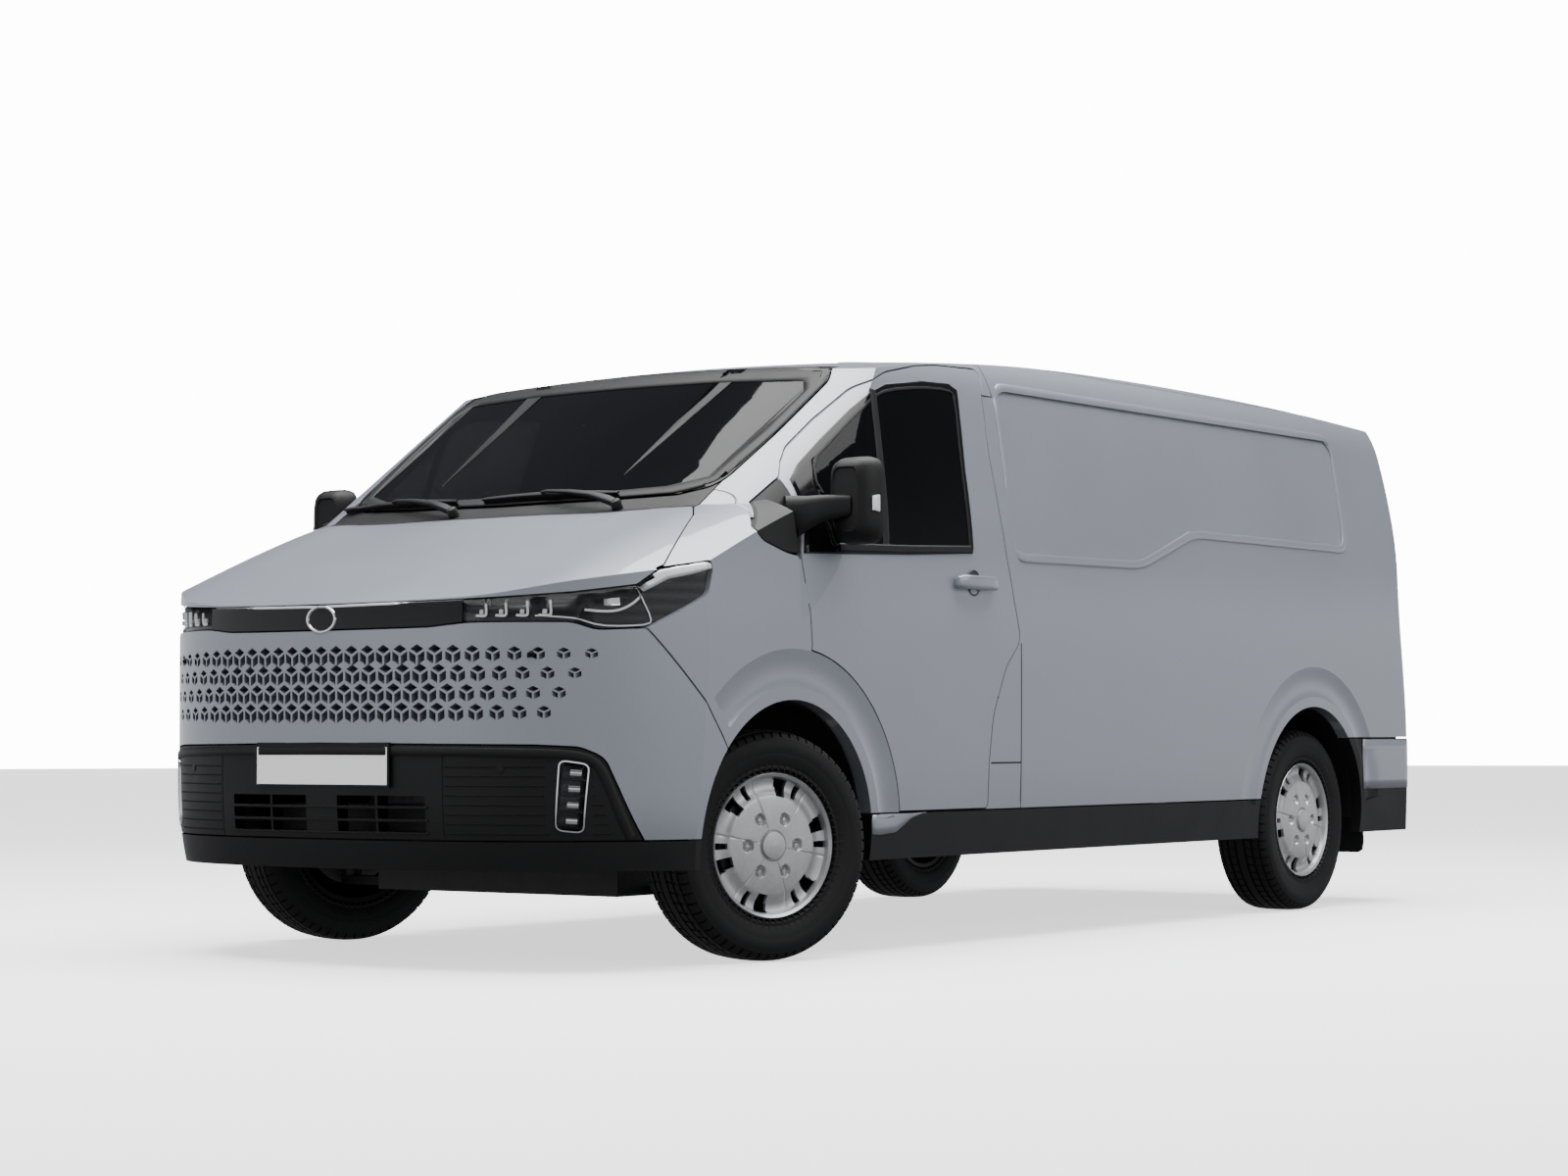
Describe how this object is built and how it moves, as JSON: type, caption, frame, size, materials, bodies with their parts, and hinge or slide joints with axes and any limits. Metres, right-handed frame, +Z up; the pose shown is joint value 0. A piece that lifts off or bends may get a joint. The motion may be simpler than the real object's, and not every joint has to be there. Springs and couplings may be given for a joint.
{
  "type": "panel van",
  "caption": "Panel van with a short nose, a light bar over a perforated front panel, hinged cab and rear doors, steered front wheels and a closed load space behind the cab.",
  "frame": {"origin": "centre of the bounding box on the ground, midway between front and rear bumpers", "axes": "+X forward, +Y to the vehicle's left, +Z up"},
  "size_m": [5.3684, 2.364, 1.9801],
  "materials": {
    "tyre": "matte",
    "wheel_cover": "satin",
    "body_paint": "gloss",
    "dark_trim": "grained",
    "gloss_trim": "gloss",
    "lamp_lens": "gloss",
    "plate": "gloss",
    "tail_lens": "gloss",
    "tinted_glass": "gloss",
    "chassis": "satin",
    "cast": "rough",
    "casing": "satin",
    "floor_paint": "satin",
    "cab_plastic": "grained",
    "seat_cloth": "woven"
  },
  "bodies": {
    "body": {"battery_pack": "casing", "drive_unit": "casing", "floor_pan": "floor_paint", "wheel_arches": "dark_trim", "inner_frames": "floor_paint", "dashboard": "cab_plastic", "underframe": "chassis", "rear_axle": "chassis", "front_subframe": "chassis", "seats": "seat_cloth", "steering_wheel": "cab_plastic", "windscreen": "tinted_glass", "light_bar": "gloss_trim", "front_lamps": "lamp_lens", "bumper_front": "dark_trim", "front_panel": "body_paint", "corner_trims": "gloss_trim", "lower_trims": "dark_trim", "number_plate": "plate", "cowl": "dark_trim", "wipers": "dark_trim", "fenders": "body_paint", "rear_bumper": "dark_trim", "tail_lamps": "tail_lens", "roof": "body_paint", "cab_frame": "body_paint", "body_side_left": "body_paint", "body_side_right": "body_paint", "slide_door": "body_paint"},
    "door_left": {"door_left": "body_paint", "door_glass_left": "tinted_glass", "door_mirror_left": "dark_trim"},
    "door_right": {"door_right": "body_paint", "door_glass_right": "tinted_glass", "door_mirror_right": "dark_trim"},
    "bonnet": {"bonnet": "body_paint"},
    "rear_door_left": {"rear_door_left": "body_paint"},
    "rear_door_right": {"rear_door_right": "body_paint"},
    "knuckle_left": {"knuckle_left": "cast"},
    "knuckle_right": {"knuckle_right": "cast"},
    "wheel_front_left": {"wheel_front_left": "wheel_cover", "tyre_front_left": "tyre"},
    "wheel_front_right": {"wheel_front_right": "wheel_cover", "tyre_front_right": "tyre"},
    "wheel_rear_left": {"wheel_rear_left": "wheel_cover", "tyre_rear_left": "tyre"},
    "wheel_rear_right": {"wheel_rear_right": "wheel_cover", "tyre_rear_right": "tyre"}
  },
  "joints": [
    {"name": "steer_left", "type": "hinge", "parent": "body", "child": "knuckle_left", "pos_m": [1.706, 0.8, 0.343], "axis": [0, 0, 1], "range_deg": [-16, 54]},
    {"name": "steer_right", "type": "hinge", "parent": "body", "child": "knuckle_right", "pos_m": [1.706, -0.8, 0.343], "axis": [0, 0, 1], "range_deg": [-16, 54]},
    {"name": "spin_front_left", "type": "hinge", "parent": "knuckle_left", "child": "wheel_front_left", "pos_m": [1.72619, 0.85862, 0.343], "axis": [0.3256, 0.9455, 0], "continuous": true},
    {"name": "spin_front_right", "type": "hinge", "parent": "knuckle_right", "child": "wheel_front_right", "pos_m": [1.68581, -0.85862, 0.343], "axis": [0.3256, 0.9455, 0], "continuous": true},
    {"name": "spin_rear_left", "type": "hinge", "parent": "body", "child": "wheel_rear_left", "pos_m": [-1.66, 0.862, 0.343], "axis": [0, 1, 0], "continuous": true},
    {"name": "spin_rear_right", "type": "hinge", "parent": "body", "child": "wheel_rear_right", "pos_m": [-1.66, -0.862, 0.343], "axis": [0, 1, 0], "continuous": true},
    {"name": "door_left_hinge", "type": "hinge", "parent": "body", "child": "door_left", "pos_m": [1.671, 1.022, 1], "axis": [0, 0, -1], "range_deg": [0, 65]},
    {"name": "door_right_hinge", "type": "hinge", "parent": "body", "child": "door_right", "pos_m": [1.671, -1.022, 1], "axis": [0, 0, 1], "range_deg": [0, 65]},
    {"name": "bonnet_hinge", "type": "hinge", "parent": "body", "child": "bonnet", "pos_m": [1.866, 0, 1.36], "axis": [0, -1, 0], "range_deg": [0, 50]},
    {"name": "rear_door_left_hinge", "type": "hinge", "parent": "body", "child": "rear_door_left", "pos_m": [-2.687, 0.812, 0.66], "axis": [-0.0947, 0, -0.9955], "range_deg": [0, 180]},
    {"name": "rear_door_right_hinge", "type": "hinge", "parent": "body", "child": "rear_door_right", "pos_m": [-2.687, -0.812, 0.66], "axis": [0.0947, 0, 0.9955], "range_deg": [0, 180]}
  ],
  "couplings": [
    {"joint": "steer_right", "follows": "steer_left", "ratio": 1}
  ]
}
